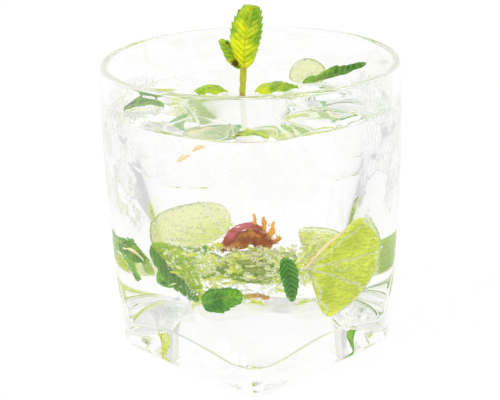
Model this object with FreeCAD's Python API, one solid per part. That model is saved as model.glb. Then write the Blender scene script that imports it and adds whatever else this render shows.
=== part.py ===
import FreeCAD, Part
import math
import os

"""Lemon lime soda in a square-footed tumbler, with ice, mint and lime.

Millimetres, +Z up. The origin is the centre of the underside of the tumbler. One corner of its
square foot points to the front (-Y), +X is to the right and +Y to the back. Each piece is a solid
of its own, and the drink fills the cavity up to its level, cut round all that stands in it.
"""

Vector = FreeCAD.Vector
UP = Vector(0, 0, 1)

# ---- driving dimensions -------------------------------------------------------------------------
HEIGHT = 90.4              # underside to the top of the rim
RIM_RADIUS = 44.0          # the rim is a true circle
RIM_WALL = 2.2             # thickness of the wall at the rim
RIM_ROUNDING = 1.0         # fire-polished edge
FOOT_HALF_SIDE = 31.9      # half the width of the square foot, across its flat sides
FOOT_SQUARENESS = 7.9      # superellipse exponent of the foot: 2 is a circle, large is a square
FOOT_WALL = 4.6            # the wall thickens towards the foot
FOOT_EDGE_ROUNDING = 1.2
SIDE_CURVE = 1.25          # how early the side swells from the foot to the rim

CAVITY_SQUARENESS = 9.0    # superellipse exponent of the cavity at its foot
FLOOR_CENTRE = 14.0        # height of the crowned cavity floor on the axis
FLOOR_DROP = 8.9           # how much lower the floor lies in the corners of the cavity
FLOOR_REACH = 36.5         # distance of those corners from the axis
FLOOR_EDGE_ROUNDING = 2.2

DRINK_LEVEL = 77.0         # free surface of the drink

ICE_SIDE = 17.0            # top edge of an ice cube from a tray
ICE_TAPER = 1.2            # its bottom edge is shorter by twice this
ICE_ROUNDING = 2.4

STEM_RADIUS = 0.95         # stem of the mint sprig
LEAF_THICKNESS = 0.6
RIB_THICKNESS = 1.1        # the midrib stands proud of both faces of a leaf
RIB_WIDTH = 0.9

LIME_RADIUS = 6.4          # end slice of a lime
LIME_THICKNESS = 2.0


# ---- tumbler ------------------------------------------------------------------------------------
SECTION_POINTS = 96
STATIONS = [0.0, 0.06, 0.14, 0.24, 0.36, 0.50, 0.64, 0.78, 0.90, 1.0]


def side_half_width(rise):
    """Half the outer width across the flats, at a rise of 0 at the foot to 1 at the rim."""
    swell = 1 - max(0.0, 1 - rise) ** SIDE_CURVE
    return FOOT_HALF_SIDE + (RIM_RADIUS - FOOT_HALF_SIDE) * swell


def wall_thickness(rise):
    """Thickness of the side wall, from the foot's to the rim's."""
    return RIM_WALL + (FOOT_WALL - RIM_WALL) * max(0.0, 1 - rise) ** 2


def squareness(foot_exponent, rise):
    """Superellipse exponent at a rise: its inverse goes evenly from the foot's to a circle's."""
    inverse = (1 - rise) / foot_exponent + rise / 2
    return 1 / inverse


def section(half_width, exponent, height):
    """Closed superellipse wire with its corners on the X and Y axes."""
    points = []
    for i in range(SECTION_POINTS):
        turn = 2 * math.pi * i / SECTION_POINTS
        spread = abs(math.cos(turn)) ** exponent + abs(math.sin(turn)) ** exponent
        reach = half_width / spread ** (1 / exponent)
        heading = turn + math.pi / 4
        points.append(Vector(reach * math.cos(heading), reach * math.sin(heading), height))
    curve = Part.BSplineCurve()
    curve.interpolate(points, PeriodicFlag=True)
    return Part.Wire([curve.toShape()])


def outer_body():
    """Solid block of the tumbler: lofted from the square foot to the round rim."""
    wires = []
    for rise in STATIONS:
        half_width = side_half_width(rise)
        wires.append(section(half_width, squareness(FOOT_SQUARENESS, rise), rise * HEIGHT))
    body = Part.makeLoft(wires, True, False)
    foot_edges = [e for e in body.Edges if e.BoundBox.ZMax < 0.01]
    return body.makeFillet(FOOT_EDGE_ROUNDING, foot_edges)


def floor_crown():
    """Solid under the cavity floor: flat in the middle, falling away towards the corners."""
    reach_end = FLOOR_REACH * 1.2
    depth = FLOOR_CENTRE - FLOOR_DROP * 3
    points = []
    for i in range(9):
        reach = reach_end * i / 8
        points.append(Vector(reach, 0, FLOOR_CENTRE - FLOOR_DROP * (reach / FLOOR_REACH) ** 4))
    curve = Part.BSplineCurve()
    curve.interpolate(points, InitialTangent=Vector(1, 0, 0), FinalTangent=points[-1] - points[-2])
    below_end = Vector(reach_end, 0, depth)
    below_axis = Vector(0, 0, depth)
    edges = [
        curve.toShape(),
        Part.makeLine(points[-1], below_end),
        Part.makeLine(below_end, below_axis),
        Part.makeLine(below_axis, points[0]),
    ]
    profile = Part.Face(Part.Wire(edges))
    return profile.revolve(Vector(0, 0, 0), UP, 360)


def is_floor_edge(edge):
    """True for the edges where the wall meets the floor, which stay away from the axis."""
    is_low = edge.BoundBox.ZMax < FLOOR_CENTRE + 1
    return is_low and all(math.hypot(v.X, v.Y) > FLOOR_REACH / 2 for v in edge.Vertexes)


def cavity():
    """Inside of the tumbler, from its crowned floor to just above the rim."""
    wires = []
    for rise in [0.01] + STATIONS[1:] + [1.03]:
        half_width = side_half_width(rise) - wall_thickness(rise)
        wires.append(section(half_width, squareness(CAVITY_SQUARENESS, rise), rise * HEIGHT))
    space = Part.makeLoft(wires, True, False).cut(floor_crown())
    floor_edges = [e for e in space.Edges if is_floor_edge(e)]
    return space.makeFillet(FLOOR_EDGE_ROUNDING, floor_edges)


def tumbler(space):
    """Outer body less the cavity, with both edges of the rim rounded."""
    body = outer_body().cut(space)
    rim_edges = [e for e in body.Edges if e.BoundBox.ZMin > HEIGHT - 0.01]
    return body.makeFillet(RIM_ROUNDING, rim_edges)


# ---- ice ----------------------------------------------------------------------------------------
def ice_cube(heading, centre_reach, top, tilt):
    """Rounded tray cube that floats with one face to the wall.

    heading is the direction from the axis in degrees from +X, centre_reach its distance from the
    axis, top the height of the middle of its top face, and tilt how far that face leans out."""
    wide = ICE_SIDE / 2
    narrow = wide - ICE_TAPER
    block = Part.makeWedge(-narrow, -ICE_SIDE, -narrow, -wide, -wide,
                           narrow, 0, narrow, wide, wide)
    block = block.makeFillet(ICE_ROUNDING, block.Edges)
    block.rotate(Vector(0, 0, 0), Vector(1, 0, 0), 90)
    block.rotate(Vector(0, 0, 0), Vector(0, 1, 0), tilt)
    block.translate(Vector(centre_reach, 0, top))
    block.rotate(Vector(0, 0, 0), UP, heading)
    return block


ICE_CUBES = {
    "ice_left": (145, 29.5, 78.2, 7),
    "ice_back": (97, 28.5, 78.6, -5),
    "ice_right": (22, 27.5, 78.4, 6),
    "ice_front": (-42, 28.5, 78.1, -6),
}


# ---- mint ---------------------------------------------------------------------------------------
def leaf_outline(length, width, bluntness, teeth):
    """Closed outline of a leaf from its base at the origin along +X, with saw teeth.

    It is ovate at a bluntness of 0.75, and the lower that is, the nearer it comes to an oblong."""
    edge = []
    for i in range(2 * teeth + 1):
        along = i / (2 * teeth)
        half = width / 2 * math.sin(math.pi * along ** 0.8) ** bluntness
        is_notch = i % 2 == 0
        depth = 0.88 if is_notch else 1.0
        lean = 0.0 if is_notch else 0.25 / teeth
        edge.append((length * min(along + lean, 1.0), half * depth))
    upper = [Vector(x, y, 0) for x, y in edge]
    lower = [Vector(x, -y, 0) for x, y in reversed(edge[1:-1])]
    return Part.makePolygon(upper + lower + upper[:1])


def domed_plate(outline, length, radius, thickness):
    """The part of a spherical shell inside an outline, its middle on the outline's two ends."""
    centre = Vector(length / 2, 0, -math.sqrt(radius ** 2 - (length / 2) ** 2))
    shell = Part.makeSphere(radius + thickness / 2, centre)
    shell = shell.cut(Part.makeSphere(radius - thickness / 2, centre))
    reach = radius / 2
    prism = Part.Face(outline).extrude(Vector(0, 0, 2 * reach))
    prism.translate(Vector(0, 0, -reach))
    return shell.common(prism)


def leaf(base, tip, facing, width, bluntness, radius, teeth):
    """Mint leaf: a toothed blade domed towards facing, with a tapering midrib."""
    base = Vector(*base)
    tip = Vector(*tip)
    length = (tip - base).Length
    outline = leaf_outline(length, width, bluntness, teeth)
    blade = domed_plate(outline, length, radius, LEAF_THICKNESS)
    rib_end = 0.8 * length
    rib_outline = Part.makePolygon([
        Vector(0.05 * length, -RIB_WIDTH / 2, 0),
        Vector(rib_end, 0, 0),
        Vector(0.05 * length, RIB_WIDTH / 2, 0),
        Vector(0.05 * length, -RIB_WIDTH / 2, 0),
    ])
    rib = domed_plate(rib_outline, length, radius, RIB_THICKNESS)
    whole = blade.fuse(rib)
    along = (tip - base).normalize()
    across = Vector(*facing).cross(along).normalize()
    turn = FreeCAD.Rotation(along, across, along.cross(across), "XYZ")
    whole.Placement = FreeCAD.Placement(base, turn)
    return whole


# name: (base, tip, facing, width, bluntness, dome radius, teeth on a side)
LEAVES = {
    "mint_top_leaf": ((-1.7, 1.2, 86.9), (1.1, 0.8, 106.0), (0.1, -1, 0.12), 10.4, 0.5, 17.0, 9),
    "mint_side_leaf": ((-2.4, 2.1, 86.6), (-8.9, 2.4, 95.6), (0.2, -1, 0.5), 6.4, 0.75, 14.0, 6),
    "mint_leaf_left": ((-17.6, 10.6, 77.6), (-7.2, 9.8, 77.6), (0, -0.05, 1), 9.0, 0.75, 12.0, 6),
    "mint_leaf_right": ((1.0, 9.0, 77.6), (14.4, 12.2, 77.7), (0, -0.05, 1), 10.4, 0.75, 15.0, 7),
    "mint_leaf_long": ((15.4, 12.4, 79.0), (35.6, 19.0, 83.4), (-0.1, -0.35, 1), 6.4, 0.6, 34.0, 9),
    "mint_leaf_edge": ((-37.2, -6.4, 77.3), (-25.6, -3.6, 77.3), (0, 0, 1), 8.4, 0.75, 14.0, 6),
    "mint_leaf_front": ((-4.2, -36.2, 77.3), (5.4, -37.2, 77.3), (0, 0, 1), 5.0, 0.75, 11.0, 5),
}


def bent_rod(points, bend_radius, radius):
    """Round rod along straight runs joined by tangent arcs."""
    edges = []
    start = points[0]
    for before, corner, after in zip(points, points[1:], points[2:]):
        inward = (before - corner).normalize()
        outward = (after - corner).normalize()
        half_angle = inward.getAngle(outward) / 2
        setback = bend_radius / math.tan(half_angle)
        arc_start = corner + inward * setback
        arc_end = corner + outward * setback
        to_middle = (inward + outward).normalize()
        arc_middle = corner + to_middle * (bend_radius / math.sin(half_angle) - bend_radius)
        edges.append(Part.makeLine(start, arc_start))
        edges.append(Part.Arc(arc_start, arc_middle, arc_end).toShape())
        start = arc_end
    edges.append(Part.makeLine(start, points[-1]))
    ring = Part.makeCircle(radius, points[0], points[1] - points[0])
    return Part.Wire(edges).makePipeShell([Part.Wire([ring])], True, True)


def stem():
    """Stem of the sprig, from just under the surface up to the feet of its two leaves."""
    points = [Vector(-2.9, 1.6, 73.8), Vector(-2.5, 1.5, 80.2), Vector(-1.8, 1.3, 88.4)]
    return bent_rod(points, 20.0, STEM_RADIUS)


# ---- lime ---------------------------------------------------------------------------------------
def lime_slice():
    """Small end slice of a lime that stands up against the back wall, its rim out of the drink."""
    disc = Part.makeCylinder(LIME_RADIUS, LIME_THICKNESS)
    rims = [e for e in disc.Edges if e.Curve.TypeId == "Part::GeomCircle"]
    disc = disc.makeFillet(0.7, rims)
    disc.translate(Vector(0, 0, -LIME_THICKNESS / 2))
    disc.rotate(Vector(0, 0, 0), Vector(1, 0, 0), 62)
    disc.rotate(Vector(0, 0, 0), UP, -18)
    disc.translate(Vector(18.2, 30.6, 76.0))
    return disc


# ---- build --------------------------------------------------------------------------------------
def main():
    space = cavity()
    nodes = {"glass": tumbler(space)}
    for name, size in ICE_CUBES.items():
        nodes[name] = ice_cube(*size)
    for name, size in LEAVES.items():
        nodes[name] = leaf(*size)
    nodes["mint_stem"] = stem().cut([nodes["mint_top_leaf"], nodes["mint_side_leaf"]])
    nodes["lime_slice"] = lime_slice()

    above = Part.makeBox(200, 200, 100, Vector(-100, -100, DRINK_LEVEL))
    garnish = [shape for name, shape in nodes.items() if name != "glass"]
    nodes["drink"] = space.cut([above] + garnish)

    os.makedirs("parts", exist_ok=True)
    for name, shape in nodes.items():
        if shape.ShapeType == "Compound" and len(shape.Solids) == 1:
            shape = shape.Solids[0]
        box = shape.BoundBox
        print(f"{name:16s} {shape.ShapeType:9s} solids {len(shape.Solids)} valid {shape.isValid()}"
              f" {shape.Volume / 1000:8.3f} cm3  z {box.ZMin:6.2f} to {box.ZMax:6.2f}")
        shape.exportStep(f"parts/{name}.step")


main()
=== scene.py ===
# %% [markdown]
# # Lemon lime soda in a square-footed tumbler
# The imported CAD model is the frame: it gives every place and size. The pieces made here stand for
# its plain solids. They are clear glass, clear soda, ice, mint leaves and lime, and nearly all of
# what the eye sees is light that has gone through them.

import math

import bpy
import numpy as np
from mathutils import Matrix, Vector


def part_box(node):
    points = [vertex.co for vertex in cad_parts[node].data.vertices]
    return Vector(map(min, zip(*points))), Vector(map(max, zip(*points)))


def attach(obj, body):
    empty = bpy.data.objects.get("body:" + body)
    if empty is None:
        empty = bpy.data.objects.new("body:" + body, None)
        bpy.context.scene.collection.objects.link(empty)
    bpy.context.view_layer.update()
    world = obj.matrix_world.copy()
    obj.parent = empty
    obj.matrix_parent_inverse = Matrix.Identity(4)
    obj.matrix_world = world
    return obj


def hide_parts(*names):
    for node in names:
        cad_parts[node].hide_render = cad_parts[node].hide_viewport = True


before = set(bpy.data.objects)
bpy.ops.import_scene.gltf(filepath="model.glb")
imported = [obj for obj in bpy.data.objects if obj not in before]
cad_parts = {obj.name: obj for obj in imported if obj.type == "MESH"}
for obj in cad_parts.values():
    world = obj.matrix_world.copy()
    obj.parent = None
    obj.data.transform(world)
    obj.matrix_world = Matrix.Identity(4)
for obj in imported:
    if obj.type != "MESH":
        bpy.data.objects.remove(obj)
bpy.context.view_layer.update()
MM = 0.001

# %% [markdown]
# ## Small tools
# Every new piece is a grid of points worked out with numpy. One function turns such a grid into a
# closed mesh, and one adds a shader node. A third gives smooth random lumps, because nothing that
# grew, froze or was cut by hand is a perfect form.


# %% Grid to mesh
def grid_faces(rows, columns, first=0):
    """Quads of a grid whose last column joins its first, as corner numbers counted from first."""
    row = np.arange(rows - 1)[:, None] * columns + first
    column = np.arange(columns)[None, :]
    following = (column + 1) % columns
    corners = [row + column, row + following, row + columns + following, row + columns + column]
    return np.stack(corners, axis=-1).reshape(-1, 4)


def fan_faces(pole, ring):
    """Triangles from a pole to each side of a closed ring of corner numbers."""
    return np.stack([np.full(len(ring), pole), np.roll(ring, -1), ring], axis=-1)


def signed_volume(points, triangles):
    """Volume inside a closed mesh: a sixth of the sum of triple products, positive if faces point out."""
    a, b, c = (points[triangles[:, i]] for i in range(3))
    return np.einsum("ij,ij->i", a, np.cross(b, c)).sum() / 6


def make_object(name, points, quads, triangles, material, values=None):
    """Mesh object from points in millimetres, faces turned outward, riding on the glass."""
    halves = np.concatenate([quads[:, [0, 1, 2]], quads[:, [0, 2, 3]], triangles])
    if signed_volume(points, halves) < 0:
        quads = quads[:, ::-1]
        triangles = triangles[:, ::-1]
    mesh = bpy.data.meshes.new(name)
    mesh.from_pydata((points * MM).tolist(), [], quads.tolist() + triangles.tolist())
    mesh.polygons.foreach_set("use_smooth", np.ones(len(mesh.polygons), bool))
    for key, numbers in (values or {}).items():
        attribute = mesh.attributes.new(key, "FLOAT", "POINT")
        attribute.data.foreach_set("value", np.asarray(numbers, np.float32).ravel())
    mesh.materials.append(material)
    mesh.update()
    piece = bpy.data.objects.new(name, mesh)
    bpy.context.scene.collection.objects.link(piece)
    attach(piece, "root")
    print(f"{name}: {len(halves)} triangles, {abs(signed_volume(points, halves)) / 1000:.2f} cm3")
    return piece


def closed_grid(grid, values=None):
    """Points, quads and triangles of a grid closed round its columns, with a pole at each end.

    The poles are the means of the first and the last row."""
    rows, columns = grid.shape[:2]
    poles = [grid[0].mean(0), grid[-1].mean(0)]
    points = np.concatenate([grid.reshape(-1, 3), poles])
    last = (rows - 1) * columns
    start = fan_faces(rows * columns, np.arange(columns))
    end = fan_faces(rows * columns + 1, np.arange(columns)[::-1] + last)
    extended = {}
    for key, numbers in (values or {}).items():
        extended[key] = np.concatenate([numbers.ravel(), [numbers[0].mean(), numbers[-1].mean()]])
    return points, grid_faces(rows, columns), np.concatenate([start, end]), extended


def grid_piece(name, grid, material, values=None):
    """One closed grid as a piece."""
    points, quads, triangles, extended = closed_grid(grid, values)
    return make_object(name, points, quads, triangles, material, extended)


def paint_rows(piece, columns, first_row, last_row, with_start, with_end, material):
    """Second material on the grid rows from first_row to last_row of a closed grid's piece, and on
    the fan at its start or its end."""
    faces = len(piece.data.polygons)
    quads = faces - 2 * columns
    chosen = np.zeros(faces, np.int32)
    chosen[first_row * columns:last_row * columns] = 1
    chosen[quads:quads + columns] = int(with_start)
    chosen[quads + columns:] = int(with_end)
    piece.data.materials.append(material)
    piece.data.polygons.foreach_set("material_index", chosen)
    piece.data.update()
    print(f"{piece.name}: {chosen.sum()} of {faces} faces have {material.name}")


def joined_piece(name, shells, material):
    """Several closed grids as one piece. A shell is a grid, or a grid and its point values."""
    parts = [closed_grid(*shell) if isinstance(shell, tuple) else closed_grid(shell) for shell in shells]
    starts = np.cumsum([0] + [len(part[0]) for part in parts])
    points = np.concatenate([part[0] for part in parts])
    quads = np.concatenate([part[1] + start for part, start in zip(parts, starts)])
    triangles = np.concatenate([part[2] + start for part, start in zip(parts, starts)])
    keys = parts[0][3]
    values = {key: np.concatenate([part[3][key] for part in parts]) for key in keys}
    return make_object(name, points, quads, triangles, material, values)


# %% Random lumps
def lumps(points, size, seed, waves=20):
    """Smooth random field of about -1 to 1: the sum of plane waves about size apart, each in a
    random direction."""
    random = np.random.default_rng(seed)
    directions = random.normal(size=(waves, 3))
    directions /= np.linalg.norm(directions, axis=1)[:, None]
    lengths = size * random.uniform(0.7, 1.6, waves)
    phases = random.uniform(0, 2 * math.pi, waves)
    angles = points @ (2 * math.pi * directions / lengths[:, None]).T + phases
    return np.sin(angles).sum(-1) * math.sqrt(2 / waves) / 2


def unit(vector):
    """Vector or rows of vectors, each made one long."""
    vector = np.asarray(vector, float)
    return vector / np.linalg.norm(vector, axis=-1, keepdims=True)


# %% Colours and shader nodes
def colour(hex_code):
    """Linear colour of an sRGB hex code."""
    channels = [int(hex_code[i:i + 2], 16) / 255 for i in (1, 3, 5)]
    linear = [c / 12.92 if c <= 0.04045 else ((c + 0.055) / 1.055) ** 2.4 for c in channels]
    return (*linear, 1.0)


WHITE = colour("#ffffff")


def noise_scale(apart):
    """Scale of a noise whose lumps are that many millimetres apart, as a whole number."""
    return round(1 / (apart * MM))


def add_node(tree, kind, inputs=None, **settings):
    """Adds a node: settings go to its properties, and inputs to its sockets as values or links."""
    node = tree.nodes.new(kind)
    for key, value in settings.items():
        setattr(node, key, value)
    for key, value in (inputs or {}).items():
        if isinstance(value, bpy.types.NodeSocket):
            tree.links.new(value, node.inputs[key])
        else:
            node.inputs[key].default_value = value
    return node


def new_material(name):
    """Material and its node tree, which is empty."""
    material = bpy.data.materials.new(name)
    material.use_nodes = True
    material.node_tree.nodes.clear()
    return material, material.node_tree


def one_shader_material(name, kind, inputs):
    """Material whose whole surface is one shader node."""
    material, tree = new_material(name)
    surface = add_node(tree, kind, inputs)
    add_node(tree, "ShaderNodeOutputMaterial", {"Surface": surface.outputs[0]})
    return material


# %% [markdown]
# ## Camera
# A drink is looked at from a little above, so the camera stands 40 cm away and looks down by just
# under 20 degrees. It could be aimed with a constraint. Three plain turns are clearer: down, then
# to the side, and a slight roll, as a hand-held camera has.

# %% Camera
scene = bpy.context.scene
camera_place = Vector((9.27, -394.46, 185.87)) * MM
LOOK_DOWN = 0.3409
LOOK_LEFT = 0.0261
CAMERA_ROLL = -0.0254
camera_data = bpy.data.cameras.new("camera")
camera_data.lens = 98.56
camera_data.sensor_width = 36.0
camera_data.clip_start = 0.01
camera = bpy.data.objects.new("camera", camera_data)
aim = Matrix.Rotation(LOOK_LEFT, 4, "Z") @ Matrix.Rotation(math.pi / 2 - LOOK_DOWN, 4, "X")
camera.matrix_world = Matrix.Translation(camera_place) @ aim @ Matrix.Rotation(CAMERA_ROLL, 4, "Z")
scene.collection.objects.link(camera)
scene.camera = camera
print("camera lens in mm:", camera_data.lens)

# %% [markdown]
# ## Floor, sky and lamps
# Clear things are shown on white, with light from everywhere. Glass then shows only where it bends
# the eye's ray to something darker, so the room has a grey side. Dimming the whole sky would do
# that too, but it would also take light from the leaves and the lime. So only rays that come from
# the eye through glass, or off it, see the grey side, and all that lights the object stays at 1.
# The floor is a plain white sheet, and a large soft lamp gives the leaves their gloss.

# %% Floor
FLOOR_HALF_SIDE = 3.0
FLOOR_LEVEL = -0.1 * MM
# Share of the floor's look that is plain white to the eye. The rest is lit, and takes the shadow.
PLAIN_WHITE = 0.93


def make_floor():
    """Flat square under the object, much larger than the view."""
    signs = [(-1, -1), (1, -1), (1, 1), (-1, 1)]
    corners = [(x * FLOOR_HALF_SIDE, y * FLOOR_HALF_SIDE, FLOOR_LEVEL) for x, y in signs]
    mesh = bpy.data.meshes.new("floor")
    mesh.from_pydata(corners, [], [(0, 1, 2, 3)])
    floor = bpy.data.objects.new("floor", mesh)
    scene.collection.objects.link(floor)
    material, tree = new_material("white_paper_sweep")
    paper = add_node(tree, "ShaderNodeBsdfDiffuse", {"Color": WHITE})
    path = add_node(tree, "ShaderNodeLightPath")
    plain = add_node(tree, "ShaderNodeEmission", {"Color": WHITE, "Strength": 1.0})
    seen = add_node(tree, "ShaderNodeMath", {
        0: path.outputs["Is Camera Ray"], 1: PLAIN_WHITE,
    }, operation="MULTIPLY")
    share = seen.outputs[0]
    for kind_of_ray in ("Is Glossy Ray", "Is Transmission Ray"):
        share = add_node(tree, "ShaderNodeMath", {
            0: share, 1: path.outputs[kind_of_ray],
        }, operation="MAXIMUM").outputs[0]
    both = add_node(tree, "ShaderNodeMixShader", {
        0: share, 1: paper.outputs["BSDF"], 2: plain.outputs["Emission"],
    })
    add_node(tree, "ShaderNodeOutputMaterial", {"Surface": both.outputs["Shader"]})
    mesh.materials.append(material)
    print("floor side in m:", 2 * FLOOR_HALF_SIDE)


make_floor()


# %% Sky
# Strength of the dome to rays from the eye through glass or off it. Elsewhere it is 1.
BEHIND_VIEWER = 0.64
OVERHEAD = 0.95
# A Mix node has sockets for every kind of value, known by number. These are for plain numbers.
NUMBER_FIRST, NUMBER_SECOND = 2, 3


def make_sky():
    """White dome at 1. Only mirrored and bent rays straight from the eye see the grey side."""
    world = bpy.data.worlds.new("studio")
    scene.world = world
    world.use_nodes = True
    tree = world.node_tree
    tree.nodes.clear()
    place = add_node(tree, "ShaderNodeTexCoord")
    axes = add_node(tree, "ShaderNodeSeparateXYZ", {"Vector": place.outputs["Generated"]})
    behind = add_node(tree, "ShaderNodeMapRange", {
        "Value": axes.outputs["Y"], "From Min": -0.5, "From Max": 0.4,
        "To Min": BEHIND_VIEWER, "To Max": 1.0,
    }, interpolation_type="SMOOTHSTEP")
    overhead = add_node(tree, "ShaderNodeMapRange", {
        "Value": axes.outputs["Z"], "From Min": 0.3, "From Max": 0.9,
        "To Min": 1.0, "To Max": OVERHEAD,
    }, interpolation_type="SMOOTHSTEP")
    room = add_node(tree, "ShaderNodeMath", {
        0: behind.outputs["Result"], 1: overhead.outputs["Result"],
    }, operation="MULTIPLY")
    path = add_node(tree, "ShaderNodeLightPath")
    bent = add_node(tree, "ShaderNodeMath", {
        0: path.outputs["Is Glossy Ray"], 1: path.outputs["Is Transmission Ray"],
    }, operation="MAXIMUM")
    # The count of plain surfaces met is 0 straight from the eye, and at least 1 in light on a thing.
    from_eye = add_node(tree, "ShaderNodeMath", {
        0: path.outputs["Diffuse Depth"], 1: 0.5,
    }, operation="LESS_THAN")
    looked_at = add_node(tree, "ShaderNodeMath", {
        0: bent.outputs[0], 1: from_eye.outputs[0],
    }, operation="MULTIPLY")
    strength = add_node(tree, "ShaderNodeMix", {
        "Factor": looked_at.outputs[0], NUMBER_FIRST: 1.0, NUMBER_SECOND: room.outputs[0],
    }, data_type="FLOAT")
    dome = add_node(tree, "ShaderNodeBackground", {
        "Color": WHITE, "Strength": strength.outputs[0],
    })
    add_node(tree, "ShaderNodeOutputWorld", {"Surface": dome.outputs["Background"]})


make_sky()


# %% Lamp
def make_lamp():
    """Wide soft lamp from the left and above, which gives wet and waxy skins their gloss."""
    data = bpy.data.lights.new("soft_box", "AREA")
    data.shape = "DISK"
    data.size = 0.5
    data.energy = 1.5
    lamp = bpy.data.objects.new("soft_box", data)
    place = Vector((-0.5, -0.45, 0.8))
    aim = Vector((0, 0, 0.05)) - place
    lamp.matrix_world = Matrix.Translation(place) @ aim.to_track_quat("-Z", "Y").to_matrix().to_4x4()
    scene.collection.objects.link(lamp)


make_lamp()

# %% [markdown]
# ## Clear glass
# The tumbler is pressed soda-lime glass with a fire-polished rim: IOR 1.5 and no roughness at all.
# Where soda lies against it, light hardly bends, since only the ratio of 1.5 to 1.33 counts, and
# almost nothing is mirrored. Giving the glass and the soda a full surface each, a hair apart, bends
# the light as much in the end. But it mirrors the white room twice more, as a haze over everything
# in the soda. So the wetted wall is a material of its own, with that ratio as its IOR.


# %% Glass material
CLEAR = {"Base Color": WHITE, "Roughness": 0.0, "Transmission Weight": 1.0}
GLASS_IOR = 1.5
SODA_IOR = 1.33


def clear_glass():
    """Pressed soda-lime glass, with dew in runs down its left and right corners."""
    material, tree = new_material("soda_lime_glass")
    place = add_node(tree, "ShaderNodeTexCoord")
    axes = add_node(tree, "ShaderNodeSeparateXYZ", {"Vector": place.outputs["Object"]})
    sideways = add_node(tree, "ShaderNodeMath", {0: axes.outputs["X"]}, operation="ABSOLUTE")
    patches = add_node(tree, "ShaderNodeTexNoise", {
        "Vector": place.outputs["Object"], "Scale": noise_scale(7.7), "Detail": 4.0,
    })
    patchy = add_node(tree, "ShaderNodeMapRange", {
        "Value": patches.outputs["Fac"], "From Min": 0.44, "From Max": 0.56,
    })
    stretched = add_node(tree, "ShaderNodeMapping", {
        "Vector": place.outputs["Object"], "Scale": (1.0, 1.0, 0.3),
    })
    drops = add_node(tree, "ShaderNodeTexNoise", {
        "Vector": stretched.outputs["Vector"], "Scale": noise_scale(1.333), "Detail": 4.0,
    })
    # Dew lies out at the corners, from half way up to just above the soda. Each line goes from one
    # place in mm to another, and from one share of the dew to another.
    height = axes.outputs["Z"]
    fades = [(sideways.outputs[0], 30.0, 36.0, 0.0, 1.0), (height, 40.0, 56.0, 0.0, 1.0),
             (height, 76.0, 82.0, 1.0, 0.0)]
    amount = patchy.outputs["Result"]
    for way, low, high, at_low, at_high in fades:
        share = add_node(tree, "ShaderNodeMapRange", {
            "Value": way, "From Min": low * MM, "From Max": high * MM,
            "To Min": at_low, "To Max": at_high,
        }, interpolation_type="SMOOTHSTEP")
        amount = add_node(tree, "ShaderNodeMath", {
            0: amount, 1: share.outputs["Result"],
        }, operation="MULTIPLY").outputs[0]
    dew = add_node(tree, "ShaderNodeBump", {
        "Height": drops.outputs["Fac"], "Strength": amount, "Distance": 2.2 * MM,
    })
    surface = add_node(tree, "ShaderNodeBsdfPrincipled", {
        **CLEAR, "IOR": GLASS_IOR, "Normal": dew.outputs["Normal"],
    })
    add_node(tree, "ShaderNodeOutputMaterial", {"Surface": surface.outputs["BSDF"]})
    return material


GLASS = clear_glass()
# Where soda lies against the glass, light goes straight from one to the other.
WETTED_GLASS = one_shader_material("wetted_glass", "ShaderNodeBsdfPrincipled", {
    **CLEAR, "IOR": round(GLASS_IOR / SODA_IOR, 3),
})

# %% [markdown]
# ## Tumbler
# Its foot is a rounded square and its rim a circle. A superellipse is both: its exponent runs from
# about 8 at the foot to 2 at the rim. Carried up a side that swells, it gives the outside, less the
# wall it gives the cavity, whose floor is crowned. The same formulas as in the CAD part are used on
# a much finer grid, because refraction shows every facet.

# %% Sizes of the tumbler
# In mm. The squarenesses and the side's curve are exponents.
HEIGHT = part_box("glass")[1].z / MM
RIM_RADIUS = 44.0
RIM_WALL = 2.2
RIM_ROUNDING = 1.0
FOOT_HALF_SIDE = 31.9
FOOT_SQUARENESS = 7.9
FOOT_WALL = 4.6
FOOT_EDGE_ROUNDING = 1.2
SIDE_CURVE = 1.25
CAVITY_SQUARENESS = 9.0
FLOOR_CENTRE = 14.0
FLOOR_DROP = 8.9
FLOOR_REACH = 36.5
FLOOR_EDGE_ROUNDING = 2.2
COLUMNS = 400
print("tumbler height in mm:", round(HEIGHT, 1))


# %% Outline of the tumbler at any height
def side_half_width(rise):
    """Half the outer width across the flats, at a rise of 0 at the foot to 1 at the rim."""
    swell = 1 - np.clip(1 - rise, 0, None) ** SIDE_CURVE
    return FOOT_HALF_SIDE + (RIM_RADIUS - FOOT_HALF_SIDE) * swell


def wall_thickness(rise):
    """Thickness of the side wall, from the foot's to the rim's."""
    return RIM_WALL + (FOOT_WALL - RIM_WALL) * np.clip(1 - rise, 0, None) ** 2


def superellipse(heading, half_width, foot_exponent, rise):
    """Distance from the axis to the outline: half_width / (|cos|^n + |sin|^n)^(1/n), its corners
    on the X and Y axes. The inverse of n goes evenly from the foot's to a circle's."""
    n = 1 / ((1 - rise) / foot_exponent + rise / 2)
    turn = heading - math.pi / 4
    spread = np.abs(np.cos(turn)) ** n + np.abs(np.sin(turn)) ** n
    return half_width / spread ** (1 / n)


def outer_reach(heading, height):
    """Distance from the axis to the outside of the glass."""
    rise = np.clip(height / HEIGHT, 0, 1)
    return superellipse(heading, side_half_width(rise), FOOT_SQUARENESS, rise)


def inner_reach(heading, height):
    """Distance from the axis to the inside of the glass."""
    rise = np.clip(height / HEIGHT, 0, 1)
    half_width = side_half_width(rise) - wall_thickness(rise)
    return superellipse(heading, half_width, CAVITY_SQUARENESS, rise)


def floor_height(reach):
    """Height of the crowned cavity floor: it falls with the fourth power of the distance out."""
    return FLOOR_CENTRE - FLOOR_DROP * (reach / FLOOR_REACH) ** 4


def flat_base(reach):
    """Height of the underside."""
    return np.zeros_like(reach)


def even_headings(columns):
    """Directions round the axis, closer together at the four corners, where the outline turns."""
    even = np.arange(columns) * 2 * math.pi / columns
    return even - 0.6 * np.sin(4 * even) / 4


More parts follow.
